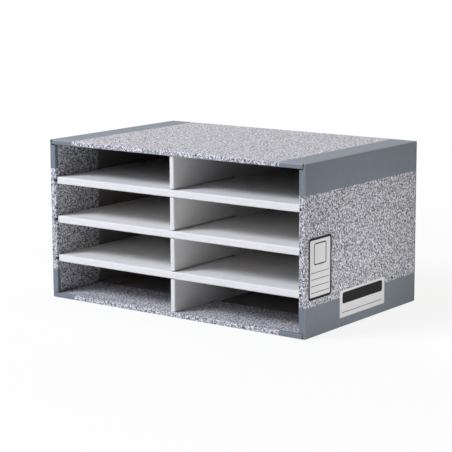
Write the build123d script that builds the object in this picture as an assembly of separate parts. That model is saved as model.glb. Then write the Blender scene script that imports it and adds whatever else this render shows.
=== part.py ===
"""Desktop document sorter of folded corrugated board.

An open-fronted carton with turned-over front edges holds an upright divider and three shelves. The
shelves slip in from the front: they cross the divider in half-laps, their side tongues run in slots of
the turned-in side flaps, and their rear tongues seat in slots of the inner rear flaps.
Millimetres, +X right, +Y to the back, +Z up, origin at the middle of the underside.
"""
import os

from build123d import *

# Carton, outside
carton_width = 490.0
carton_depth = 315.0
carton_height = 256.0

# Corrugated board
board = 3.8  # thickness of one board
crease_radius = 1.8  # outside rounding of a fold
fit = 0.3  # clearance between pieces that slide or slip together
cut_gap = 1.4  # gap that a die leaves between neighbouring flaps

# Front flaps
front_flap_reach = 103.0  # from the front plane to the end of the turned-in leaf
front_flap_taper = 9.0  # cut-off corners at the end of the leaf
side_room = 3.8  # between a side panel and its turned-in leaf
relief_radius = 1.5  # hole where the creases of two front flaps meet

# Rear flaps
rear_inner_length = 125.0  # side flaps, behind the shelves
rear_inner_taper = 10.0
rear_outer_inset = 2.0  # ends of the top and bottom flaps, short of the side faces
rear_outer_gap = 1.5  # between the top and bottom flaps at mid-height

# Glue seam
seam_width = 36.0
seam_taper = 12.0

# Shelves, from the lowest up
shelf_names = ("lower", "middle", "upper")
edge_recess = 3.0  # shelf and divider edges, behind the front plane
shelf_end_gap = 0.5  # between a shelf's end and the side flap
side_slot_bridge = 18.0  # board left behind the slots of a side flap
side_tongue_setback = 9.0  # start of a side tongue, behind the shelf's edge
side_tongue_past = 0.5  # end of a side tongue, past the leaf that it goes through
rear_tongue_width = 60.0
tongue_chamfer = 1.2  # lead-in at the ends of a tongue

# Divider
divider_fold_gap = 0.8  # between the two leaves
divider_headroom = 2.0  # free height above a shelf in the divider's slot
divider_lock = 60.0  # length of the divider that is held in the top and bottom flaps

# Overrun of every cut
overrun = 5.0

# Worked out from the above
half_width = carton_width / 2
half_height = carton_height / 2
front = -carton_depth / 2
back = carton_depth / 2
wall = 2 * board  # top or bottom panel with its turned-in flap
side_wall = wall + side_room  # side panel with its turned-in flap
shelf_thickness = 3 * board
divider_thickness = 2 * board + divider_fold_gap
row_height = (carton_height - 2 * wall - len(shelf_names) * shelf_thickness) / (len(shelf_names) + 1)
shelf_middles = [
    wall + (index + 1) * row_height + (index + 1 / 2) * shelf_thickness for index in range(len(shelf_names))
]
flap_end = front + front_flap_reach
edge_front = front + edge_recess
shelf_back = back - wall - fit
shelf_half = half_width - side_wall - shelf_end_gap
tongue_half = half_width - side_wall + board + side_tongue_past
lap = (edge_front + shelf_back) / 2  # depth at which shelf slots and divider slots meet
side_slot_end = flap_end - side_slot_bridge
rear_tongue_middle = half_width - board - rear_inner_length / 2  # from the divider, in mid-flap

LOW = Align.MIN
MID = Align.CENTER


def block(x_span, y_span, z_span):
    """A rectangular block between two limits on each axis."""
    spans = (x_span, y_span, z_span)
    size = [high - low for low, high in spans]
    return Pos(*[low for low, high in spans]) * Box(*size, align=(LOW, LOW, LOW))


def facing_front(depth):
    """Upright plane at a depth, seen from the front: local X to the right, local Y up."""
    return Plane(origin=(0, depth, 0), x_dir=(1, 0, 0), z_dir=(0, -1, 0))


def envelope(rear):
    """The carton's outer form as far as a depth, every crease rounded."""
    form = block((-half_width, half_width), (front, rear), (0, carton_height))
    return fillet(form.edges(), crease_radius)


outer_form = envelope(back)


def folded_section(reach, thickness):
    """A board folded double: flat spine on local Y, leaves along local X, rounded creases."""
    outline = Rectangle(reach, thickness, align=(LOW, MID))
    outline = fillet(outline.vertices().sort_by(Axis.X)[:2], crease_radius)
    between = Pos(board, 0) * Rectangle(reach, thickness - wall, align=(LOW, MID))
    return outline - between


def sleeve_panel(corner_a, corner_b, inward_a, inward_b):
    """One panel of the sleeve, mitred along its two depthwise creases."""
    inner = [
        (corner[0] + board * inward[0], corner[1] + board * inward[1])
        for corner, inward in ((corner_b, inward_b), (corner_a, inward_a))
    ]
    section = make_face(Polyline(corner_a, corner_b, *inner, close=True))
    return extrude(facing_front(back - board) * section, amount=carton_depth - wall)


def sleeve():
    """Top, bottom and side panels. The sides have a crease at the back, for the inner rear flaps."""
    left, right, low, high = -half_width, half_width, 0, carton_height
    side_form = envelope(back - board)
    return {
        "carton_top": sleeve_panel((left, high), (right, high), (1, -1), (-1, -1)) & outer_form,
        "carton_bottom": sleeve_panel((left, low), (right, low), (1, 1), (-1, 1)) & outer_form,
        "carton_left_side": sleeve_panel((left, low), (left, high), (1, 1), (1, -1)) & side_form,
        "carton_right_side": sleeve_panel((right, low), (right, high), (-1, 1), (-1, -1)) & side_form,
    }


def turned_flap(spine_width, strip_half, leaf_half):
    """A front flap: local X along the edge, local Y inward from the outer face, local Z to the back.

    The spine covers the front edge of its panel and the leaf turns in from it. The outer board's width
    of the spine can run further than the leaf.
    """
    along = Plane.YZ
    spine = Rectangle(spine_width, board, align=(LOW, LOW))
    inner_crease = spine.vertices().sort_by(Axis.X)[-2:].sort_by(Axis.Y)[0]
    spine = fillet(inner_crease, crease_radius)
    strip = Rectangle(board, board, align=(LOW, LOW))
    leaf_length = front_flap_reach - board
    leaf = Rectangle(2 * leaf_half, leaf_length, align=(MID, LOW))
    leaf = chamfer(leaf.vertices().sort_by(Axis.Y)[2:], front_flap_taper)
    leaf_plane = Plane(origin=(0, spine_width, board), x_dir=(1, 0, 0), z_dir=(0, -1, 0))
    flap = extrude(along * spine, amount=leaf_half, both=True)
    flap += extrude(along * strip, amount=strip_half, both=True)
    return flap + extrude(leaf_plane * leaf, amount=board)


def corner_reliefs():
    """Small holes where the creases of two front flaps meet, at every corner but that of the seam."""
    low, high = crease_radius, carton_height - crease_radius
    across = half_width - board
    places = ((-across, high), (across, high), (across, low))
    holes = Sketch() + [Pos(*place) * Circle(relief_radius) for place in places]
    return extrude(facing_front(front + board) * holes, amount=board + overrun)


def side_slots():
    """Slots for the shelf tongues in both side flaps, open to the front through the spine."""
    height = board + 2 * fit
    slots = Part()
    for middle in shelf_middles:
        levels = (middle - height / 2, middle + height / 2)
        for side in (-1, 1):
            inner, outer = side * (half_width - side_wall - overrun), side * (tongue_half + fit)
            spread = (min(inner, outer), max(inner, outer))
            slots += block(spread, (front - overrun, side_slot_end), levels)
    return slots


def lock_slot():
    """Slot, open to the back, in which the top and bottom flaps hold the divider."""
    half = divider_thickness / 2 + fit
    return block((-half, half), (flap_end - divider_lock, flap_end + overrun), (0, carton_height))


def front_flaps():
    """The four turned-in flaps round the opening."""
    cross_half = half_width - board - cut_gap
    cross = turned_flap(wall, cross_half, cross_half)
    upright = turned_flap(side_wall, half_height, half_height - wall - cut_gap)
    back_way = (0, 1, 0)
    places = {
        "front_flap_top": (cross, (0, front, carton_height), (1, 0, 0), lock_slot()),
        "front_flap_bottom": (cross, (0, front, 0), (-1, 0, 0), lock_slot()),
        "front_flap_left": (upright, (-half_width, front, half_height), (0, 0, 1), side_slots()),
        "front_flap_right": (upright, (half_width, front, half_height), (0, 0, -1), side_slots()),
    }
    reliefs = corner_reliefs()
    flaps = {
        name: (Plane(origin=origin, x_dir=along, z_dir=back_way) * flap & outer_form) - slots - reliefs
        for name, (flap, origin, along, slots) in places.items()
    }
    # At the seam corner the bottom spine runs out to the side and the left flap stops above it
    corner_x, corner_y = (-half_width, -half_width + wall), (front, front + board)
    flaps["front_flap_bottom"] += block(corner_x, corner_y, (0, wall)) & outer_form
    flaps["front_flap_left"] -= block(corner_x, corner_y, (0, wall + cut_gap))
    return flaps


def rear_slots():
    """Slots for the rear tongues of the shelves."""
    width, height = rear_tongue_width + 2 * fit, board + 2 * fit
    slot = Rectangle(width, height)
    places = [(side * rear_tongue_middle, middle) for side in (-1, 1) for middle in shelf_middles]
    slots = Sketch() + [Pos(*place) * slot for place in places]
    return extrude(facing_front(back) * slots, amount=wall + overrun)


def rear_flaps():
    """Inner flaps from the sides and outer flaps from the top and bottom, which close the back."""
    tall = carton_height - wall - 2 * cut_gap
    inner = Rectangle(rear_inner_length, tall, align=(LOW, MID))
    inner = chamfer(inner.vertices().sort_by(Axis.X)[2:], rear_inner_taper)
    inner = Pos(-half_width + board, half_height) * inner
    flap_left = extrude(facing_front(back - board) * inner, amount=board) - rear_slots()
    ends = half_width - rear_outer_inset
    meeting = half_height + rear_outer_gap / 2
    flap_top = block((-ends, ends), (back - board, back), (meeting, carton_height)) & outer_form
    level = Plane(origin=(0, 0, half_height), z_dir=(0, 0, 1))
    return {
        "rear_flap_left": flap_left,
        "rear_flap_right": mirror(flap_left, about=Plane.YZ),
        "rear_flap_top": flap_top,
        "rear_flap_bottom": mirror(flap_top, about=level),
    }


def seam_flap():
    """Glue flap of the left side, inside on the bottom panel, behind the turned-in front flap."""
    start, end = flap_end + fit, back - wall - fit
    outline = Pos(-half_width + board, start) * Rectangle(seam_width, end - start, align=(LOW, LOW))
    outline = chamfer(outline.vertices().sort_by(Axis.X)[2:], seam_taper)
    return extrude(Pos(0, 0, board) * outline, amount=board)


def divider():
    """White board folded double, with front-open slots and a taller rear part held in the flaps."""
    end = back - board - fit
    foot, head = board + fit, carton_height - board - fit
    section_plane = Plane(origin=(0, edge_front, foot), x_dir=(0, 1, 0), z_dir=(0, 0, 1))
    section = folded_section(end - edge_front, divider_thickness)
    upright = extrude(section_plane * section, amount=head - foot)
    across = (-divider_thickness, divider_thickness)
    step = (edge_front - overrun, flap_end - divider_lock + fit)
    slot = (edge_front - overrun, lap + fit)
    upright -= block(across, step, (0, wall + fit))
    upright -= block(across, step, (carton_height - wall - fit, carton_height))
    for middle in shelf_middles:
        low = middle - shelf_thickness / 2 - fit
        upright -= block(across, slot, (low, low + shelf_thickness + fit + divider_headroom))
    return upright


def divider_slot():
    """Slot, open to the back, with which every shelf straddles the divider."""
    half = divider_thickness / 2 + fit
    return block((-half, half), (lap, back), (0, carton_height))


def shelf_cover(middle):
    """White sheet folded round the front edge of a shelf, over both faces of its core."""
    section_plane = Plane(origin=(0, edge_front, middle), x_dir=(0, 1, 0), z_dir=(1, 0, 0))
    section = folded_section(shelf_back - edge_front, shelf_thickness)
    return extrude(section_plane * section, amount=shelf_half, both=True) - divider_slot()


def shelf_core(middle):
    """Board between the leaves of the cover, with tongues at both ends and at the back."""
    start = edge_front + board
    sheet = Pos(0, start) * Rectangle(2 * shelf_half, shelf_back - start, align=(MID, LOW))
    tongue_start = edge_front + side_tongue_setback
    tongue_end = side_slot_end - fit
    tongues = Pos(0, tongue_start) * Rectangle(2 * tongue_half, tongue_end - tongue_start, align=(MID, LOW))
    outline = sheet + chamfer(tongues.vertices(), tongue_chamfer)
    rear_end = back - board - fit
    rear = Rectangle(rear_tongue_width, rear_end - lap, align=(MID, LOW))
    rear = chamfer(rear.vertices().sort_by(Axis.Y)[2:], tongue_chamfer)
    outline += [Pos(side * rear_tongue_middle, lap) * rear for side in (-1, 1)]
    core = extrude(Pos(0, 0, middle - board / 2) * outline, amount=board)
    return core - divider_slot()


def pieces():
    """Every node of the sorter by name."""
    nodes = {**sleeve(), **front_flaps(), **rear_flaps(), "seam_flap": seam_flap(), "divider": divider()}
    for name, middle in zip(shelf_names, shelf_middles):
        nodes[f"shelf_{name}_cover"] = shelf_cover(middle)
        nodes[f"shelf_{name}_core"] = shelf_core(middle)
    return nodes


os.makedirs("parts", exist_ok=True)
for node_name, solid in pieces().items():
    export_step(solid, f"parts/{node_name}.step")
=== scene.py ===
import bisect
import math
from functools import partial
from typing import NamedTuple

import bmesh
import bpy
from bpy.props import FloatProperty, FloatVectorProperty, PointerProperty
from mathutils import Matrix, Vector


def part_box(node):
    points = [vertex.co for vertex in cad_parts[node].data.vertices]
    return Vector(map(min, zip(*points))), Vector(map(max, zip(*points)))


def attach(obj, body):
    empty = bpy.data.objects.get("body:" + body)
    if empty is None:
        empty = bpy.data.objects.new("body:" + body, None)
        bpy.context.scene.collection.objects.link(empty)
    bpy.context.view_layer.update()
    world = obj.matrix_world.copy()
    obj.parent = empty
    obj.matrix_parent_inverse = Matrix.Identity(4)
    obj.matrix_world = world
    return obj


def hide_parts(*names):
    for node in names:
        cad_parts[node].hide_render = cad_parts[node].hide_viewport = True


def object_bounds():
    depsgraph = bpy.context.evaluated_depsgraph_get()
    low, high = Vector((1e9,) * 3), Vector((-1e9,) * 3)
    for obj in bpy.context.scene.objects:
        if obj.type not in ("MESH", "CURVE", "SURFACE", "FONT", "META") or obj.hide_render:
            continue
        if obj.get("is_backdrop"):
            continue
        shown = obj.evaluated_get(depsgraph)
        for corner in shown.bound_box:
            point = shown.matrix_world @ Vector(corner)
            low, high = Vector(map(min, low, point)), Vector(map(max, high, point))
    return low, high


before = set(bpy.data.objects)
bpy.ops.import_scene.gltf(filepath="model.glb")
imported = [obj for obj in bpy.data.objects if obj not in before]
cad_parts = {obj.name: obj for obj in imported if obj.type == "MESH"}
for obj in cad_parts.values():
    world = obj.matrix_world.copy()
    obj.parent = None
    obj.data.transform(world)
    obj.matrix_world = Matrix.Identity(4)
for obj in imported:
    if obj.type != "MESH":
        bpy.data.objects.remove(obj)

bl_info = {
    "name": "Document sorter",
    "version": (1, 0, 0),
    "blender": (4, 5, 0),
    "location": "View3D > Sidebar > Sorter",
    "description": "Dresses a document sorter of corrugated board: print, open flutes, labels and stage",
    "category": "Object",
}

CAD_LOW, CAD_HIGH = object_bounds()

# Places and thicknesses that several boards share, in metres, read from the frame
HALF_WIDTH = CAD_HIGH.x
FRONT, BACK = CAD_LOW.y, CAD_HIGH.y
HEIGHT = CAD_HIGH.z
SEAM_LOW, SEAM_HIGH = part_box("seam_flap")
BOARD = SEAM_HIGH.z - SEAM_LOW.z
WALL = 2 * BOARD  # top or bottom panel with its turned-in flap
LEAF_LOW, LEAF_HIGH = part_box("front_flap_left")
SIDE_WALL = LEAF_HIGH.x - LEAF_LOW.x  # side panel with its turned-in flap and the room between them
FLAP_END = LEAF_HIGH.y
SHELVES = ("lower", "middle", "upper")
PRINTED_SLEEVE = ("carton_top", "carton_bottom", "carton_left_side", "carton_right_side")
PRINTED_FLAPS = ("front_flap_top", "front_flap_bottom", "front_flap_left", "front_flap_right")
ALONG_X, ALONG_Z = Vector((1, 0, 0)), Vector((0, 0, 1))

# Meshes
CREASE_STEPS = 6  # facets round a crease
FLUTE_STEPS = 10  # facets along one flute
CORNER_STEPS = 8  # facets round a label's corner
SMOOTH_LIMIT = math.radians(50)  # sharper edges stay hard
TINY = 1e-7  # metres under which two lengths along a blank count as one
ALONG_PLACES = 7  # decimals of a metre to which places along a blank are kept
ACROSS_PLACES = 6  # and those across it
OUTER, INNER, CUT = 0, 1, 2  # materials of a board: outer liner, inner liner, cut edges and flutes
PAPER, INK = 0, 1  # materials of a label
WRITING_LINES = 4  # on the upright label

# Papers and inks
PAPER_IOR = 1.5
NOISE_LOW, NOISE_HIGH = 0.3, 0.7  # nearly all of a noise pattern lies between these
GREY_INK = (0.42, 0.51)  # levels of the fleck pattern from which grey ink sets in and at which it is full
DARK_INK = (0.52, 0.63)  # and those of dark ink
FLECK_TURN = (0.6, 0.8, 1.0)  # radians that turn the fleck pattern out of line with every panel
SLEEVE_SKIN = 0.8 * BOARD  # depth below the outside up to which a sleeve panel is its printed skin
FLAP_SKIN = 1.6 * BOARD  # depth behind the outside at which the slate bands end on a turned-in flap
FACING = 0.5  # share of a normal along an axis from which a face counts as facing that way
AMOUNT, UNDER, OVER, MIXED = 0, 6, 7, 2  # sockets of a colour mix, whose names aren't unique

# Lamps: places and widths in metres, and the stage's colour that each takes
LAMPS = (
    {"name": "front_window", "place": (-2.4, -3.2, 3.6), "width": 2.0, "watts": 282.0, "tint": "cool"},
    {"name": "overhead", "place": (-0.4, 0.4, 2.6), "width": 1.8, "watts": 22.0, "tint": "warm"},
    {"name": "right_fill", "place": (0.56, 0.0, 0.02), "width": 0.04, "watts": 0.48, "tint": "neutral"},
)
PLAIN_WHITE = (1.0, 1.0, 1.0, 1.0)


def linear(hex_colour):
    """Linear RGBA of an sRGB hex colour."""
    parts = [int(hex_colour[start:start + 2], 16) / 255 for start in (0, 2, 4)]
    return (*[part / 12.92 if part <= 0.04045 else ((part + 0.055) / 1.055) ** 2.4 for part in parts], 1.0)


def length(name, description, default):
    """A length property in metres."""
    return FloatProperty(name=name, description=description, default=default, unit="LENGTH", precision=5)


def share(name, description, default):
    """A property between nothing and all."""
    return FloatProperty(
        name=name, description=description, default=default, min=0, max=1, subtype="FACTOR"
    )


def angle(name, description, degrees):
    """An angle property."""
    return FloatProperty(name=name, description=description, default=math.radians(degrees), subtype="ANGLE")


def colour(name, description, hex_colour):
    """A colour property whose default is an sRGB hex colour."""
    return FloatVectorProperty(
        name=name, description=description, default=linear(hex_colour),
        size=4, min=0, max=1, subtype="COLOR",
    )


class SorterBoard(bpy.types.PropertyGroup):
    """Make-up and cut of the corrugated boards."""

    flute_pitch: length("Flute pitch", "Distance from one flute tip to the next", 0.0079)
    liner: length("Liner", "Paper on each face, thicker than 0.3 mm so that raw edges show", 0.00045)
    medium: length("Medium", "Fluted paper between the liners, thickened likewise", 0.0004)
    glue: length("Glue", "Gap between two papers, and in the corner of a fold", 0.00002)
    crease: length("Crease", "Outside rounding of a fold", 0.0018)
    crushed: share("Crushed", "Share of the thickness that is left on a crease", 0.4)
    fit: length("Fit", "Clearance where boards slip together", 0.0003)
    headroom: length("Headroom", "Free height above a shelf in the divider's slot", 0.002)
    divider_lock: length("Divider lock", "Length of the divider held in the top and bottom flaps", 0.060)
    tongue_setback: length("Tongue setback", "Start of a side tongue behind the shelf's edge", 0.009)
    slot_bridge: length("Slot bridge", "Board left behind the slots of a side flap", 0.018)
    rear_tongue: length("Rear tongue", "Width of a rear tongue", 0.060)
    tongue_lead: length("Tongue lead", "Cut-off corners of a tongue", 0.0012)
    rear_taper: length("Rear taper", "Cut-off corners of an inner rear flap", 0.010)
    seam_taper: length("Seam taper", "Cut-off corners of the glue flap", 0.012)


class SorterPrint(bpy.types.PropertyGroup):
    """Colours and scale of the papers and inks."""

    slate: colour("Slate", "Plain bands along the depthwise edges", "757D84")
    speckle_light: colour("Speckle light", "White top liner between the flecks", "EAE7EB")
    speckle_mid: colour("Speckle mid", "Grey flecks", "9A9A9F")
    speckle_dark: colour("Speckle dark", "Dark flecks", "393B42")
    white: colour("White", "White top liner of shelves and divider", "E7E5E2")
    plain: colour("Plain", "Unprinted recycled liner", "7F7A74")
    raw: colour("Raw", "Cut edges and fluted paper", "84786A")
    label: colour("Label", "Label paper", "E9E6E4")
    ink: colour("Ink", "Frames and bars on the labels", "1C1C1E")
    band: length("Band", "Width of a plain band from its edge", 0.046)
    grain: length("Grain", "Size of one fleck", 0.0025)
    # Real fibres are about 0.3 mm wide, and drawn four times as coarse so that they show
    fibre: length("Fibre", "Width of a paper fibre", 0.0012)
    cloud: length("Cloud", "Width of a cloud of pulp in the paper", 0.009)
    relief: length("Relief", "Height of the fibres on a paper's face", 0.00004)
    washboard: share("Washboard", "Height of the flutes that show through, as a share of the relief", 0.4)
    gloss_swing: share("Gloss swing", "How far the fibres move the roughness up or down", 0.06)
    slate_mottle: share("Slate mottle", "How unevenly the slate ink lies", 0.06)
    # Paper shows along folds and outer edges: partly rubbed-off ink, partly a painted highlight
    wear_and_highlight: share("Wear", "Largest share of the ink that is rubbed off on a fold", 0.5)
    wear_and_highlight_start: length("Wear start", "Distance from a fold up to which the wear is full", 0.0004)
    wear_and_highlight_end: length("Wear end", "Distance from a fold at which the wear ends", 0.0016)


class SorterLabels(bpy.types.PropertyGroup):
    """Blank write-on labels on the right side, placed from the front edge and the underside."""

    paper: length("Paper", "Thickness of a label", 0.00012)
    film: length("Film", "Thickness of its print", 0.00003)
    lift: length("Lift", "Gap under the print, so that no two faces coincide", 0.000005)
    upright_start: length("Upright start", "From the front edge", 0.0085)
    upright_foot: length("Upright foot", "From the underside", 0.0555)
    upright_width: length("Upright width", "Along the depth", 0.0605)
    upright_height: length("Upright height", "Up the side", 0.0915)
    level_start: length("Level start", "From the front edge", 0.0925)
    level_foot: length("Level foot", "From the underside", 0.0143)
    level_width: length("Level width", "Along the depth", 0.1265)
    level_height: length("Level height", "Up the side", 0.0414)
    rim: length("Rim", "Width of the dark frame", 0.0038)
    rounding: length("Rounding", "Corner radius of the upright label", 0.006)
    rule: length("Rule", "Width of a writing line", 0.0009)
    rule_step: length("Rule step", "From one writing line to the next", 0.0098)
    margin: length("Margin", "Free edge round the print", 0.007)
    stamp_drop: length("Stamp drop", "Top of the stamp field below the label's top", 0.0084)


class SorterStage(bpy.types.PropertyGroup):
    """Camera, lamps and floor."""

    camera_place: FloatVectorProperty(
        name="Camera place", description="Where the camera stands", default=(1.5194, -2.0543, 0.5847),
        subtype="TRANSLATION", unit="LENGTH",
    )
    azimuth: angle("Azimuth", "Camera's turn to the right of the front", 36.725)
    elevation: angle("Elevation", "Camera's height above the horizon", 10.343)
    roll: angle("Roll", "Camera's turn about its own axis", -0.261)
    lens: FloatProperty(name="Lens", description="Focal length", default=129.88, unit="CAMERA")
    cool: colour("Cool lamp", "Daylight from the front", "EBF1FF")
    warm: colour("Warm lamp", "Light from above", "FFF4E6")
    neutral: colour("Neutral lamp", "Light from the right", "FAFCFF")
    ambient: share("Ambient", "Strength of the world's own light", 0.1)
    floor: colour("Floor", "Plain pale floor", "F4F4F4")
    floor_reach: length("Floor reach", "Half the floor's width", 30.0)
    floor_drop: length("Floor drop", "Gap between the floor and the underside", 0.0002)
    pale_near: share("Pale near", "Share of plain white beside the sorter, the rest takes shadow", 0.87)
    pale_start: length("Pale start", "Distance from the middle at which the shadow starts to fade", 0.35)
    pale_end: length("Pale end", "Distance from the middle at which the floor is plain white", 1.2)


GROUPS = {
    "sorter_board": SorterBoard,
    "sorter_print": SorterPrint,
    "sorter_labels": SorterLabels,
    "sorter_stage": SorterStage,
}


def add_node(tree, kind, sockets=None, out=0, **settings):
    """Adds a node with its settings, sets or links its sockets, and gives one of its outputs."""
    node = tree.nodes.new(kind)
    for name, value in settings.items():
        setattr(node, name, value)
    for name, value in (sockets or {}).items():
        if isinstance(value, bpy.types.NodeSocket):
            tree.links.new(value, node.inputs[name])
        else:
            node.inputs[name].default_value = value
    return node.outputs[out] if node.outputs else None


def paper_material(name, make_base, roughness, gleam=0.5):
    """A paper of that name, made once: its base, its felted fibres, the washboard of the flutes below."""
    if name in bpy.data.materials:
        return bpy.data.materials[name]
    papers = bpy.context.scene.sorter_print
    pitch = bpy.context.scene.sorter_board.flute_pitch
    material = bpy.data.materials.new(name)
    material.use_nodes = True
    tree = material.node_tree
    tree.nodes.clear()
    place = add_node(tree, "ShaderNodeTexCoord", out="Object")
    fibre = add_node(
        tree, "ShaderNodeTexNoise",
        {"Vector": place, "Scale": 1 / papers.fibre, "Detail": 3.0, "Roughness": 0.65},
    )
    gloss = add_node(
        tree, "ShaderNodeMapRange",
        {
            "Value": fibre, "From Min": NOISE_LOW, "From Max": NOISE_HIGH,
            "To Min": roughness - papers.gloss_swing, "To Max": roughness + papers.gloss_swing,
        },
    )
    flute = add_node(tree, "ShaderNodeSeparateXYZ", {0: place}, out="Y")
    flute = add_node(tree, "ShaderNodeMath", {0: flute, 1: math.tau / pitch}, operation="MULTIPLY")
    flute = add_node(tree, "ShaderNodeMath", {0: flute}, operation="SINE")
    height = add_node(
        tree, "ShaderNodeMath", {0: flute, 1: papers.washboard, 2: fibre}, operation="MULTIPLY_ADD"
    )
    relief = add_node(tree, "ShaderNodeBump", {"Height": height, "Distance": papers.relief})
    shader = add_node(
        tree, "ShaderNodeBsdfPrincipled",
        {
            "Base Color": make_base(tree, place, fibre), "Roughness": gloss, "Normal": relief,
            "IOR": PAPER_IOR, "Specular IOR Level": gleam,
        },
    )
    add_node(tree, "ShaderNodeOutputMaterial", {"Surface": shader})
    return material


def mottled(tree, place, fibre, hue, mottle):
    """Base of a plain paper: clouds of pulp and single fibres in one hue."""
    papers = bpy.context.scene.sorter_print
    cloud = add_node(
        tree, "ShaderNodeTexNoise", {"Vector": place, "Scale": 1 / papers.cloud, "Detail": 2.0}
    )
    pulp = add_node(tree, "ShaderNodeMath", {0: cloud, 1: fibre}, operation="ADD")
    shade = add_node(
        tree, "ShaderNodeMapRange",
        {
            "Value": pulp, "From Min": 2 * NOISE_LOW, "From Max": 2 * NOISE_HIGH,
            "To Min": 1 - mottle, "To Max": 1 + mottle,
        },
    )
    return add_node(
        tree, "ShaderNodeMix", {AMOUNT: 1.0, UNDER: hue, OVER: shade}, out=MIXED,
        data_type="RGBA", blend_type="MULTIPLY",
    )


def white_liner():
    """White top liner, calendered: clean, smooth and barely mottled, with a soft gleam at low angles."""
    base = partial(mottled, hue=bpy.context.scene.sorter_print.white, mottle=0.03)
    return paper_material("White top liner calendered", base, roughness=0.55)


def plain_liner():
    """Recycled testliner, uncoated: grey-brown, dull and cloudy."""
    base = partial(mottled, hue=bpy.context.scene.sorter_print.plain, mottle=0.12)
    return paper_material("Recycled testliner uncoated", base, roughness=0.8)


def raw_paper():
    """Fluting paper, die-cut: browner than the liners, dull, with torn fibres at the cut."""
    base = partial(mottled, hue=bpy.context.scene.sorter_print.raw, mottle=0.2)
    return paper_material("Fluting paper die-cut", base, roughness=0.9)


def label_paper():
    """Label paper, matt coated: an even near-white."""
    base = partial(mottled, hue=bpy.context.scene.sorter_print.label, mottle=0.02)
    return paper_material("Label paper matt coated", base, roughness=0.5)


def label_ink():
    """Offset ink on label paper: near-black and matt."""
    base = partial(mottled, hue=bpy.context.scene.sorter_print.ink, mottle=0.15)
    return paper_material("Offset ink near black", base, roughness=0.6, gleam=0.1)


def carton_distances(tree, place):
    """Distances inward from the carton's sides, its top or bottom, its front and its back."""
    parts = add_node(tree, "ShaderNodeSeparateXYZ", {0: place}).node.outputs
    side = add_node(tree, "ShaderNodeMath", {0: parts["X"]}, operation="ABSOLUTE")
    side = add_node(tree, "ShaderNodeMath", {0: HALF_WIDTH, 1: side}, operation="SUBTRACT")
    level = add_node(tree, "ShaderNodeMath", {0: parts["Z"], 1: HEIGHT / 2}, operation="SUBTRACT")
    level = add_node(tree, "ShaderNodeMath", {0: level}, operation="ABSOLUTE")
    level = add_node(tree, "ShaderNodeMath", {0: HEIGHT / 2, 1: level}, operation="SUBTRACT")
    front = add_node(tree, "ShaderNodeMath", {0: parts["Y"], 1: FRONT}, operation="SUBTRACT")
    back = add_node(tree, "ShaderNodeMath", {0: BACK, 1: parts["Y"]}, operation="SUBTRACT")
    return side, level, front, back


def fleck_inks(tree, inks, place):
    """Amounts of grey and of dark ink, broken up like crushed stone."""
    turned = add_node(
        tree, "ShaderNodeVectorRotate", {"Vector": place, "Rotation": FLECK_TURN}, rotation_type="EULER_XYZ"
    )
    flecks = add_node(
        tree, "ShaderNodeTexNoise",
        {"Vector": turned, "Scale": 1 / inks.grain, "Detail": 2.0, "Roughness": 0.6, "Distortion": 0.6},
    )
    return [
        add_node(tree, "ShaderNodeMapRange", {"Value": flecks, "From Min": start, "From Max": full})
        for start, full in (GREY_INK, DARK_INK)
    ]


def slate_bands(tree, inks, side, level, back, skin):
    """1 near a side on the skin of the top, bottom and back, and near the top or bottom on the sides."""
    near_side = add_node(tree, "ShaderNodeMath", {0: side, 1: inks.band}, operation="LESS_THAN")
    near_level = add_node(tree, "ShaderNodeMath", {0: level, 1: inks.band}, operation="LESS_THAN")
    on_back = add_node(tree, "ShaderNodeMath", {0: back, 1: BOARD / 2}, operation="LESS_THAN")
    near_level = add_node(tree, "ShaderNodeMath", {0: near_level, 1: on_back}, operation="MAXIMUM")
    band = add_node(tree, "ShaderNodeMath", {0: near_side, 1: near_level}, operation="MULTIPLY")
    return add_node(tree, "ShaderNodeMath", {0: band, 1: skin}, operation="MULTIPLY")


def worn_and_highlit_folds(tree, inks, fibre, least, most, depth):
    """Share of ink lost along every outer edge, which is where the second smallest distance is small;
    partly rubbed-off ink, and partly a painted highlight along the folds.
    """
    edge = add_node(tree, "ShaderNodeMath", {0: most, 1: depth}, operation="MINIMUM")
    edge = add_node(tree, "ShaderNodeMath", {0: edge, 1: least}, operation="MAXIMUM")
    worn_and_highlit = add_node(
        tree, "ShaderNodeMapRange",
        {
            "Value": edge, "From Min": inks.wear_and_highlight_start, "From Max": inks.wear_and_highlight_end,
            "To Min": inks.wear_and_highlight, "To Max": 0.0,
        },
    )
    return add_node(tree, "ShaderNodeMath", {0: worn_and_highlit, 1: fibre}, operation="MULTIPLY")


def cut_edges(tree, side, level, inside_printed):
    """1 on cut edges, which face neither the front or back nor the side that their board belongs to."""
    facing = add_node(tree, "ShaderNodeNewGeometry", out="True Normal")
    facing = add_node(tree, "ShaderNodeVectorMath", {0: facing}, operation="ABSOLUTE")
    facing = add_node(tree, "ShaderNodeSeparateXYZ", {0: facing}).node.outputs
    # A place belongs to the wall it is nearest to, counted in wall thicknesses on the flaps
    lean = WALL / SIDE_WALL if inside_printed else 1.0
    upright = add_node(tree, "ShaderNodeMath", {0: side, 1: lean}, operation="MULTIPLY")
    upright = add_node(tree, "ShaderNodeMath", {0: upright, 1: level}, operation="LESS_THAN")
    printed = add_node(
        tree, "ShaderNodeMapRange", {"Value": upright, "To Min": facing["Z"], "To Max": facing["X"]}
    )
    printed = add_node(tree, "ShaderNodeMath", {0: printed, 1: facing["Y"]}, operation="MAXIMUM")
    return add_node(tree, "ShaderNodeMath", {0: printed, 1: FACING}, operation="LESS_THAN")


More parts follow.
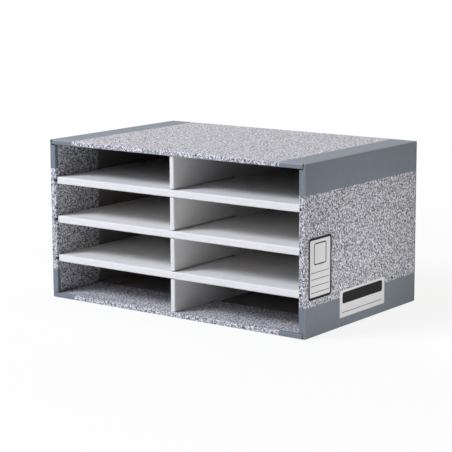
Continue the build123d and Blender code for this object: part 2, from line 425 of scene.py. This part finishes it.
def stone_print(tree, place, fibre, inside_printed):
    """Base of the printed liner: white paper under a stone speckle of two inks, plain slate bands near the
    depthwise edges, paper along the folds where ink is rubbed off and a highlight is painted, a plain
    or printed inner face, and raw cut edges."""
    inks = bpy.context.scene.sorter_print
    side, level, front, back = carton_distances(tree, place)
    depth = add_node(tree, "ShaderNodeMath", {0: front, 1: back}, operation="MINIMUM")
    least = add_node(tree, "ShaderNodeMath", {0: side, 1: level}, operation="MINIMUM")
    most = add_node(tree, "ShaderNodeMath", {0: side, 1: level}, operation="MAXIMUM")
    # Outer skin, as against what faces the compartments; on a flap it ends a little behind the front
    reach = FLAP_SKIN if inside_printed else SLEEVE_SKIN
    skin = add_node(tree, "ShaderNodeMath", {0: least, 1: depth}, operation="MINIMUM")
    skin = add_node(tree, "ShaderNodeMath", {0: skin, 1: reach}, operation="LESS_THAN")
    grey, dark = fleck_inks(tree, inks, place)
    band = slate_bands(tree, inks, side, level, back, skin)
    slate = mottled(tree, place, fibre, inks.slate, inks.slate_mottle)
    # Lighter paper along the outer edges: partly rubbed-off ink, partly a painted highlight
    worn_and_highlit = worn_and_highlit_folds(tree, inks, fibre, least, most, depth)
    layers = [
        (grey, inks.speckle_mid), (dark, inks.speckle_dark), (band, slate), (worn_and_highlit, inks.speckle_light),
    ]
    if not inside_printed:
        inner_face = add_node(tree, "ShaderNodeMath", {0: 1.0, 1: skin}, operation="SUBTRACT")
        layers.append((inner_face, inks.plain))
    layers.append((cut_edges(tree, side, level, inside_printed), inks.raw))
    base = inks.speckle_light
    for amount, over in layers:
        base = add_node(
            tree, "ShaderNodeMix", {AMOUNT: amount, UNDER: base, OVER: over}, out=MIXED, data_type="RGBA"
        )
    return base


def printed_liner(inside_printed):
    """White top liner, flexo-printed: matt ink that follows the washboard of the flutes."""
    name = "White top liner flexo-printed" + (" both ways" if inside_printed else "")
    base = partial(stone_print, inside_printed=inside_printed)
    return paper_material(name, base, roughness=0.6, gleam=0.4)


class Station(NamedTuple):
    """A line across the outer face of a folded board."""

    along: float  # length of the blank up to here
    place: Vector
    inward: Vector  # way into the board
    left: float  # share of the thickness that a crease leaves


def fold(corners, axis):
    """Stations of a board that runs from the first corner to the last and turns square at those between."""
    sizes = bpy.context.scene.sorter_board
    ways = [(end - start).normalized() for start, end in zip(corners, corners[1:])]
    stations = [Station(0.0, corners[0], axis.cross(ways[0]), 1.0)]

    def step(place, inward, left):
        last = stations[-1]
        gone = (place - last.place).length
        if gone > TINY:
            stations.append(Station(last.along + gone, place, inward, left))

    for corner, before, after in zip(corners[1:-1], ways, ways[1:]):
        step(corner - BOARD * before, axis.cross(before), 1.0)
        centre = corner + sizes.crease * (after - before)
        for count in range(CREASE_STEPS + 1):
            turn = math.pi / 2 * count / CREASE_STEPS
            inward = math.cos(turn) * axis.cross(before) + math.sin(turn) * axis.cross(after)
            step(centre - sizes.crease * inward, inward, sizes.crushed)
        step(corner + (BOARD + sizes.glue) * after, axis.cross(after), 1.0)
    step(corners[-1], axis.cross(ways[-1]), 1.0)
    return stations


def slabs(rings):
    """Cuts a flat blank at the length of every corner, and gives the edge lines that bound each slab."""
    marks = sorted({round(along, ALONG_PLACES) for ring in rings for along, across in ring})
    for start, end in zip(marks, marks[1:]):
        lines = []
        for ring in rings:
            for (along_a, across_a), (along_b, across_b) in zip(ring, ring[1:] + ring[:1]):
                if min(along_a, along_b) < start + TINY and max(along_a, along_b) > end - TINY:
                    slope = (across_b - across_a) / (along_b - along_a)
                    lines.append((across_a - slope * along_a, slope))
        middle = (start + end) / 2
        lines.sort(key=lambda line: line[0] + line[1] * middle)
        yield start, end, list(zip(lines[::2], lines[1::2]))


def limits(span, along):
    """Places across a blank where a span of it starts and ends, at a length."""
    return [round(base + slope * along, ACROSS_PLACES) for base, slope in span]


class CorrugatedBoard:
    """A board cut to a blank and laid along stations: two liners and a fluted paper, all closed sheets."""

    def __init__(self, rings, stations, axis):
        self.sizes = bpy.context.scene.sorter_board
        self.stations = stations
        self.folds = [station.along for station in stations]
        self.axis = axis
        self.blank = list(slabs(rings))
        self.shape = bmesh.new()
        # Places across the board of all corners on each line where two slabs meet or the blank ends
        self.rungs = {}
        for start, end, spans in self.blank:
            for along in (start, end):
                for span in spans:
                    self.rungs.setdefault(along, set()).update(limits(span, along))

    def lay(self, along, across, deep):
        """Point of the folded board at a place on its blank and a depth under its outer face."""
        index = min(max(bisect.bisect_right(self.folds, along), 1), len(self.folds) - 1)
        before, after = self.stations[index - 1:index + 1]
        part = (along - before.along) / (after.along - before.along)
        inward = before.inward.lerp(after.inward, part).normalized()
        left = before.left + (after.left - before.left) * part
        return before.place.lerp(after.place, part) + self.axis * across + inward * (deep * left)

    def rung(self, span, along):
        """Corners across a span at a length, with those of its neighbours that lie between its ends."""
        low, high = limits(span, along)
        between = sorted(across for across in self.rungs.get(along, ()) if low < across < high)
        return [(along, across) for across in (low, *between, high)]

    def is_edge(self, along, across):
        """Whether a place on a line between slabs has board on one side only."""
        touching = [
            [limits(span, along) for span in spans]
            for start, end, spans in self.blank if along in (start, end)
        ]
        return sum(any(low < across < high for low, high in pairs) for pairs in touching) == 1

    def add_sheet(self, lengths, depths, outer, inner):
        """A closed sheet between two depths, with corners at the given lengths and two face materials."""
        corners = {}

        def add_face(places, material):
            for place in places:
                if place not in corners:
                    along, across, face = place
                    corners[place] = self.shape.verts.new(self.lay(along, across, depths(along)[face]))
            self.shape.faces.new([corners[place] for place in places]).material_index = material

        def add_edge(start, end):
            add_face([(*start, 0), (*end, 0), (*end, 1), (*start, 1)], CUT)

        for start, end, spans in self.blank:
            inside = [along for along in lengths if start + TINY < along < end - TINY]
            for span in spans:
                rows = [self.rung(span, along) for along in (start, *inside, end)]
                for row, after in zip(rows, rows[1:]):
                    outline = row + after[::-1]
                    add_face([(*place, 0) for place in outline], outer)
                    add_face([(*place, 1) for place in outline], inner)
                    add_edge(row[0], after[0])
                    add_edge(row[-1], after[-1])
        for along, places in self.rungs.items():
            places = sorted(places)
            for low, high in zip(places, places[1:]):
                if self.is_edge(along, (low + high) / 2):
                    add_edge((along, low), (along, high))

    def wave(self, along):
        """Depths of the two faces of the fluted paper at a length."""
        sizes = self.sizes
        swing = (BOARD - 2 * sizes.liner - sizes.medium) / 2 - sizes.glue
        middle = BOARD / 2 + swing * math.cos(math.tau * along / sizes.flute_pitch)
        return middle - sizes.medium / 2, middle + sizes.medium / 2

    def mesh(self):
        """The three papers in one shape."""
        liner = self.sizes.liner
        step = self.sizes.flute_pitch / FLUTE_STEPS
        flutes = [count * step for count in range(math.ceil(self.folds[-1] / step))]
        self.add_sheet(self.folds, lambda along: (0.0, liner), OUTER, CUT)
        self.add_sheet(self.folds, lambda along: (BOARD - liner, BOARD), CUT, INNER)
        self.add_sheet(sorted({*self.folds, *flutes}), self.wave, CUT, CUT)
        bmesh.ops.recalc_face_normals(self.shape, faces=self.shape.faces[:])
        return self.shape


def add_piece(name, shape, materials, body, replaced=()):
    """Turns a finished shape into a piece that rides on a body."""
    mesh = bpy.data.meshes.new(name)
    shape.to_mesh(mesh)
    shape.free()
    for material in materials:
        mesh.materials.append(material)
    mesh.shade_smooth()
    mesh.set_sharp_from_angle(angle=SMOOTH_LIMIT)
    piece = bpy.data.objects.new(name, mesh)
    bpy.context.scene.collection.objects.link(piece)
    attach(piece, body)
    if replaced:
        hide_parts(*replaced)


class SORTER_OT_carton(bpy.types.Operator):
    """Print the sleeve and the turned-in front flaps."""

    bl_idname = "sorter.carton"
    bl_label = "Carton print"

    def execute(self, context):
        for nodes, inside_printed in ((PRINTED_SLEEVE, False), (PRINTED_FLAPS, True)):
            material = printed_liner(inside_printed)
            for node in nodes:
                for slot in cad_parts[node].material_slots:
                    slot.material = material
        return {"FINISHED"}


class SORTER_OT_rear_flaps(bpy.types.Operator):
    """Close the back with two inner and two outer flaps of open-edged board."""

    bl_idname = "sorter.rear_flaps"
    bl_label = "Rear flaps"

    def execute(self, context):
        self.add_outer("rear_flap_top", from_top=True)
        self.add_outer("rear_flap_bottom", from_top=False)
        self.add_inner("rear_flap_left", -1, context.scene.sorter_board)
        self.add_inner("rear_flap_right", 1, context.scene.sorter_board)
        return {"FINISHED"}

    def add_outer(self, node, from_top):
        """Flap that turns down from the top panel or up from the bottom panel."""
        low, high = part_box(node)
        edge, free_end, axis = (HEIGHT, low.z, -ALONG_X) if from_top else (0.0, high.z, ALONG_X)
        corners = ((0, low.y, edge), (0, high.y, edge), (0, high.y, free_end))
        stations = fold([Vector(corner) for corner in corners], axis)
        total = stations[-1].along
        outline = [(0, low.x), (total, low.x), (total, high.x), (0, high.x)]
        add_piece(
            f"{node}_board", CorrugatedBoard([outline], stations, axis).mesh(),
            (printed_liner(False), plain_liner(), raw_paper()), "carton", [node],
        )

    def add_inner(self, node, side, sizes):
        """Flap that turns in from a side panel, with a slot for a rear tongue of each shelf."""
        low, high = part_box(node)
        hinge, free = (low.x, high.x) if side < 0 else (high.x, low.x)
        taper = sizes.rear_taper
        rings = [[
            (hinge, low.z), (free + side * taper, low.z), (free, low.z + taper),
            (free, high.z - taper), (free + side * taper, high.z), (hinge, high.z),
        ]]
        middle = (low.x + high.x) / 2
        half = sizes.rear_tongue / 2 + sizes.fit
        for shelf in SHELVES:
            core_low, core_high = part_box(f"shelf_{shelf}_core")
            slot_low, slot_high = core_low.z - sizes.fit, core_high.z + sizes.fit
            rings.append([
                (middle - half, slot_low), (middle + half, slot_low),
                (middle + half, slot_high), (middle - half, slot_high),
            ])
        stations = fold([Vector((high.x, high.y, 0)), Vector((low.x, high.y, 0))], ALONG_Z)
        rings = [[(high.x - x, z) for x, z in ring] for ring in rings]
        add_piece(
            f"{node}_board", CorrugatedBoard(rings, stations, ALONG_Z).mesh(),
            (plain_liner(), plain_liner(), raw_paper()), "carton", [node],
        )


class SORTER_OT_seam(bpy.types.Operator):
    """Lay the glue flap on the bottom panel."""

    bl_idname = "sorter.seam"
    bl_label = "Glue seam"

    def execute(self, context):
        low, high = SEAM_LOW, SEAM_HIGH
        taper = context.scene.sorter_board.seam_taper
        outline = [
            (low.x, low.y), (high.x - taper, low.y), (high.x, low.y + taper),
            (high.x, high.y - taper), (high.x - taper, high.y), (low.x, high.y),
        ]
        ring = [(y - low.y, x) for x, y in outline]
        stations = fold([Vector((0, low.y, low.z)), Vector((0, high.y, low.z))], ALONG_X)
        add_piece(
            "seam_flap_board", CorrugatedBoard([ring], stations, ALONG_X).mesh(),
            (plain_liner(), plain_liner(), raw_paper()), "carton", ["seam_flap"],
        )
        return {"FINISHED"}


class SORTER_OT_divider(bpy.types.Operator):
    """Fold the upright divider and cut its slots."""

    bl_idname = "sorter.divider"
    bl_label = "Divider"

    def execute(self, context):
        sizes = context.scene.sorter_board
        low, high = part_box("divider")
        corners = ((low.x, high.y, 0), (low.x, low.y, 0), (high.x, low.y, 0), (high.x, high.y, 0))
        stations = fold([Vector(corner) for corner in corners], ALONG_Z)
        total = stations[-1].along
        # Full height behind the front flaps and in their slots, and less between the flaps
        step = high.y - (FLAP_END - sizes.divider_lock + sizes.fit)
        foot, head = WALL + sizes.fit, HEIGHT - WALL - sizes.fit
        rings = [[
            (0, low.z), (step, low.z), (step, foot), (total - step, foot),
            (total - step, low.z), (total, low.z), (total, high.z), (total - step, high.z),
            (total - step, head), (step, head), (step, high.z), (0, high.z),
        ]]
        for shelf in SHELVES:
            shelf_low, shelf_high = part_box(f"shelf_{shelf}_cover")
            slot = high.y - (shelf_low.y + shelf_high.y) / 2 - sizes.fit
            slot_low, slot_high = shelf_low.z - sizes.fit, shelf_high.z + sizes.headroom
            rings.append([
                (slot, slot_low), (total - slot, slot_low), (total - slot, slot_high), (slot, slot_high),
            ])
        add_piece(
            "divider_board", CorrugatedBoard(rings, stations, ALONG_Z).mesh(),
            (white_liner(), white_liner(), raw_paper()), "carton", ["divider"],
        )
        return {"FINISHED"}


class SORTER_OT_shelves(bpy.types.Operator):
    """Fold the cover of each shelf round its core, with open flutes at the ends."""

    bl_idname = "sorter.shelves"
    bl_label = "Shelves"

    def execute(self, context):
        sizes = context.scene.sorter_board
        divider_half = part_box("divider")[1].x + sizes.fit
        for shelf in SHELVES:
            self.add_cover(shelf, divider_half)
            self.add_core(shelf, divider_half, sizes)
        return {"FINISHED"}

    def add_cover(self, shelf, divider_half):
        """White sheet folded twice round the front edge, slotted from the rear for the divider."""
        low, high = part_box(f"shelf_{shelf}_cover")
        corners = ((0, high.y, high.z), (0, low.y, high.z), (0, low.y, low.z), (0, high.y, low.z))
        stations = fold([Vector(corner) for corner in corners], ALONG_X)
        total, slot = stations[-1].along, (high.y - low.y) / 2
        half = [(0, high.x), (total, high.x), (total, divider_half), (total - slot, divider_half)]
        outline = half + [(along, -across) for along, across in reversed(half)]
        outline += [(0, -divider_half), (slot, -divider_half), (slot, divider_half), (0, divider_half)]
        add_piece(
            f"shelf_{shelf}_cover_sheet", CorrugatedBoard([outline], stations, ALONG_X).mesh(),
            (white_liner(), white_liner(), raw_paper()), f"shelf_{shelf}",
            [f"shelf_{shelf}_cover"],
        )

    def add_core(self, shelf, divider_half, sizes):
        """Plain board inside the cover, with a tongue at each side and two at the rear."""
        cover_low, cover_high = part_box(f"shelf_{shelf}_cover")
        core_low, core_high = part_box(f"shelf_{shelf}_core")
        flap_low, flap_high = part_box("rear_flap_right")
        tongue_middle = (flap_low.x + flap_high.x) / 2
        rear_low, rear_high = tongue_middle - sizes.rear_tongue / 2, tongue_middle + sizes.rear_tongue / 2
        side_start, side_end = cover_low.y + sizes.tongue_setback, FLAP_END - sizes.slot_bridge - sizes.fit
        lap = (cover_low.y + cover_high.y) / 2
        lead = sizes.tongue_lead
        right = [
            (cover_high.x, core_low.y), (cover_high.x, side_start),
            (core_high.x - lead, side_start), (core_high.x, side_start + lead),
            (core_high.x, side_end - lead), (core_high.x - lead, side_end),
            (cover_high.x, side_end), (cover_high.x, cover_high.y),
            (rear_high, cover_high.y), (rear_high, core_high.y - lead), (rear_high - lead, core_high.y),
            (rear_low + lead, core_high.y), (rear_low, core_high.y - lead), (rear_low, cover_high.y),
            (divider_half, cover_high.y), (divider_half, lap),
        ]
        outline = right + [(-x, y) for x, y in reversed(right)]
        ring = [(core_high.y - y, x) for x, y in outline]
        corners = ((0, core_high.y, core_high.z), (0, core_low.y, core_high.z))
        stations = fold([Vector(corner) for corner in corners], ALONG_X)
        add_piece(
            f"shelf_{shelf}_core_sheet", CorrugatedBoard([ring], stations, ALONG_X).mesh(),
            (plain_liner(), plain_liner(), raw_paper()), f"shelf_{shelf}",
            [f"shelf_{shelf}_core"],
        )


def rounded(start, foot, width, height, radius):
    """Outline of a rectangle with rounded corners: depth from the front edge and height."""
    centres = (
        (start + width - radius, foot + radius), (start + width - radius, foot + height - radius),
        (start + radius, foot + height - radius), (start + radius, foot + radius),
    )
    return [
        (y + radius * math.cos(turn), z + radius * math.sin(turn))
        for quarter, (y, z) in enumerate(centres)
        for turn in [math.pi / 2 * (quarter - 1 + step / CORNER_STEPS) for step in range(CORNER_STEPS + 1)]
    ]


def add_plate(shape, outer, hole, base, top, material_index):
    """A thin flat layer on the right side, with an outline and perhaps a hole of as many points."""
    loops = [
        [[shape.verts.new((HALF_WIDTH + x, FRONT + y, z)) for y, z in outline] for x in (base, top)]
        for outline in (outer, hole) if outline
    ]
    faces = []
    for low_loop, high_loop in loops:
        for index in range(len(low_loop)):
            after = (index + 1) % len(low_loop)
            corners = (low_loop[index], low_loop[after], high_loop[after], high_loop[index])
            faces.append(shape.faces.new(corners))
    for level in (0, 1):
        if hole:
            outside, inside = loops[0][level], loops[1][level]
            for index in range(len(outer)):
                after = (index + 1) % len(outer)
                corners = (outside[index], outside[after], inside[after], inside[index])
                faces.append(shape.faces.new(corners))
        else:
            faces.append(shape.faces.new(loops[0][level]))
    for face in faces:
        face.material_index = material_index


class SORTER_OT_labels(bpy.types.Operator):
    """Put two blank write-on labels on the right side."""

    bl_idname = "sorter.labels"
    bl_label = "Labels"

    def execute(self, context):
        sizes = context.scene.sorter_labels
        for name, draw in (("label_upright", self.draw_upright), ("label_level", self.draw_level)):
            shape = bmesh.new()
            draw(shape, sizes)
            bmesh.ops.recalc_face_normals(shape, faces=shape.faces[:])
            add_piece(name, shape, (label_paper(), label_ink()), "carton")
        return {"FINISHED"}

    def draw_upright(self, shape, sizes):
        """Rounded label with a dark frame, writing lines and a square field for a stamp."""
        start, foot, rim, margin = sizes.upright_start, sizes.upright_foot, sizes.rim, sizes.margin
        width, height = sizes.upright_width, sizes.upright_height
        self.add_paper(shape, sizes, rounded(start, foot, width, height, sizes.rounding))
        self.add_frame(shape, sizes, (start, foot, width, height), sizes.rounding, rim)
        for line in range(WRITING_LINES):
            line_foot = foot + sizes.rule_step * (line + 1)
            self.add_rule(shape, sizes, start + margin, line_foot, width - 2 * margin)
        inset = 2 * margin
        stamp = width - 2 * inset
        stamp_foot = foot + height - sizes.stamp_drop - stamp
        self.add_frame(shape, sizes, (start + inset, stamp_foot, stamp, stamp), rim, 2 * sizes.rule)

    def draw_level(self, shape, sizes):
        """Square-cut label with a dark bar and one writing line."""
        start, foot, margin = sizes.level_start, sizes.level_foot, sizes.margin
        width, height = sizes.level_width, sizes.level_height
        self.add_paper(shape, sizes, rounded(start, foot, width, height, sizes.rule))
        bar_height = (height - margin) / 2
        bar = rounded(start + margin, foot + height / 2, width - 2 * margin, bar_height, sizes.rim)
        self.add_print(shape, sizes, bar, None)
        self.add_rule(shape, sizes, start + margin, foot + margin, width - 2 * margin)

    def add_paper(self, shape, sizes, outer):
        add_plate(shape, outer, None, 0.0, sizes.paper, PAPER)

    def add_print(self, shape, sizes, outer, hole):
        base = sizes.paper + sizes.lift
        add_plate(shape, outer, hole, base, base + sizes.film, INK)

    def add_frame(self, shape, sizes, box, radius, line):
        """Printed frame inside a box, with rounded corners and lines of one width."""
        start, foot, width, height = box
        hole = rounded(start + line, foot + line, width - 2 * line, height - 2 * line, radius - line)
        self.add_print(shape, sizes, rounded(*box, radius), hole)

    def add_rule(self, shape, sizes, start, foot, width):
        """Printed writing line, its corners rounded by a quarter of its width."""
        self.add_print(shape, sizes, rounded(start, foot, width, sizes.rule, sizes.rule / 4), None)


def seen_directly(tree):
    """1 for camera, mirror and see-through rays, which show a surface, 0 for rays that gather light."""
    seen = add_node(tree, "ShaderNodeLightPath").node.outputs
    direct = add_node(
        tree, "ShaderNodeMath", {0: seen["Is Camera Ray"], 1: seen["Is Glossy Ray"]}, operation="MAXIMUM"
    )
    return add_node(
        tree, "ShaderNodeMath", {0: direct, 1: seen["Is Transmission Ray"]}, operation="MAXIMUM"
    )


def floor_material(stage):
    """Matt white board: takes a faint shadow near the sorter and is plain white further off."""
    material = bpy.data.materials.new("Matt white board floor")
    material.use_nodes = True
    tree = material.node_tree
    tree.nodes.clear()
    place = add_node(tree, "ShaderNodeTexCoord", out="Object")
    away = add_node(tree, "ShaderNodeVectorMath", {0: place}, out="Value", operation="LENGTH")
    pale = add_node(
        tree, "ShaderNodeMapRange",
        {
            "Value": away, "From Min": stage.pale_start, "From Max": stage.pale_end,
            "To Min": stage.pale_near, "To Max": 1.0,
        },
    )
    pale = add_node(tree, "ShaderNodeMath", {0: seen_directly(tree), 1: pale}, operation="MULTIPLY")
    matt = add_node(tree, "ShaderNodeBsdfDiffuse", {"Color": stage.floor})
    glow = add_node(tree, "ShaderNodeEmission", {"Color": PLAIN_WHITE, "Strength": 1.0})
    mixed = add_node(tree, "ShaderNodeMixShader", {0: pale, 1: matt, 2: glow})
    add_node(tree, "ShaderNodeOutputMaterial", {"Surface": mixed})
    return material


class SORTER_OT_stage(bpy.types.Operator):
    """Set the camera, the lamps, the world and the floor."""

    bl_idname = "sorter.stage"
    bl_label = "Stage"

    def execute(self, context):
        scene = context.scene
        stage = scene.sorter_stage
        scene.view_settings.view_transform = "Standard"
        self.add_camera(scene, stage)
        self.add_lamps(scene, stage)
        self.set_world(scene, stage)
        self.add_floor(scene, stage)
        return {"FINISHED"}

    def add_camera(self, scene, stage):
        turn, rise, roll = stage.azimuth, stage.elevation, stage.roll
        away = Vector((math.sin(turn) * math.cos(rise), -math.cos(turn) * math.cos(rise), math.sin(rise)))
        right = ALONG_Z.cross(away).normalized()
        up = away.cross(right)
        sideways = math.cos(roll) * right + math.sin(roll) * up
        upward = math.cos(roll) * up - math.sin(roll) * right
        camera = bpy.data.objects.new("camera", bpy.data.cameras.new("camera"))
        camera.data.lens = stage.lens
        camera.matrix_world = (
            Matrix.Translation(stage.camera_place) @ Matrix((sideways, upward, away)).transposed().to_4x4()
        )
        scene.collection.objects.link(camera)
        scene.camera = camera

    def add_lamps(self, scene, stage):
        target = Vector((0, 0, HEIGHT / 2))
        for choice in LAMPS:
            lamp = bpy.data.objects.new(choice["name"], bpy.data.lights.new(choice["name"], "AREA"))
            lamp.data.size = choice["width"]
            lamp.data.energy = choice["watts"]
            lamp.data.color = getattr(stage, choice["tint"])[:3]
            lamp.location = choice["place"]
            lamp.rotation_euler = (target - lamp.location).to_track_quat("-Z", "Y").to_euler()
            scene.collection.objects.link(lamp)

    def set_world(self, scene, stage):
        world = bpy.data.worlds.new("plain_studio")
        scene.world = world
        world.use_nodes = True
        tree = world.node_tree
        tree.nodes.clear()
        ambient = add_node(tree, "ShaderNodeBackground", {"Color": PLAIN_WHITE, "Strength": stage.ambient})
        backdrop = add_node(tree, "ShaderNodeBackground", {"Color": PLAIN_WHITE, "Strength": 1.0})
        mixed = add_node(tree, "ShaderNodeMixShader", {0: seen_directly(tree), 1: ambient, 2: backdrop})
        add_node(tree, "ShaderNodeOutputWorld", {"Surface": mixed})

    def add_floor(self, scene, stage):
        reach, below = stage.floor_reach, -stage.floor_drop
        mesh = bpy.data.meshes.new("floor")
        corners = [(-reach, -reach), (reach, -reach), (reach, reach), (-reach, reach)]
        mesh.from_pydata([(x, y, below) for x, y in corners], [], [range(len(corners))])
        mesh.materials.append(floor_material(stage))
        floor = bpy.data.objects.new("floor", mesh)
        scene.collection.objects.link(floor)
        floor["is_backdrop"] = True


OPERATORS = (
    SORTER_OT_carton, SORTER_OT_rear_flaps, SORTER_OT_seam, SORTER_OT_divider,
    SORTER_OT_shelves, SORTER_OT_labels, SORTER_OT_stage,
)


class SORTER_PT_panel(bpy.types.Panel):
    """Sizes, colours and steps of the document sorter."""

    bl_idname = "SORTER_PT_panel"
    bl_label = "Document sorter"
    bl_space_type = "VIEW_3D"
    bl_region_type = "UI"
    bl_category = "Sorter"

    def draw(self, context):
        for group_name, group in GROUPS.items():
            box = self.layout.box()
            for setting in group.__annotations__:
                box.prop(getattr(context.scene, group_name), setting)
        for operator in OPERATORS:
            self.layout.operator(operator.bl_idname)


def register():
    """Registers the settings, the operators and the panel."""
    for group_name, group in GROUPS.items():
        bpy.utils.register_class(group)
        setattr(bpy.types.Scene, group_name, PointerProperty(type=group))
    for registered in (*OPERATORS, SORTER_PT_panel):
        bpy.utils.register_class(registered)


def unregister():
    """Undoes register, in the opposite order."""
    for registered in (SORTER_PT_panel, *reversed(OPERATORS)):
        bpy.utils.unregister_class(registered)
    for group_name, group in reversed(GROUPS.items()):
        delattr(bpy.types.Scene, group_name)
        bpy.utils.unregister_class(group)


def main():
    """Builds the pieces and the stage in order."""
    register()
    for operator in OPERATORS:
        family, step = operator.bl_idname.split(".")
        getattr(getattr(bpy.ops, family), step)()
    boxes = {"cad": (CAD_LOW, CAD_HIGH), "visual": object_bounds()}
    {name: [list(corner) for corner in corners] for name, corners in boxes.items()}


if __name__ == "__main__":
    main()
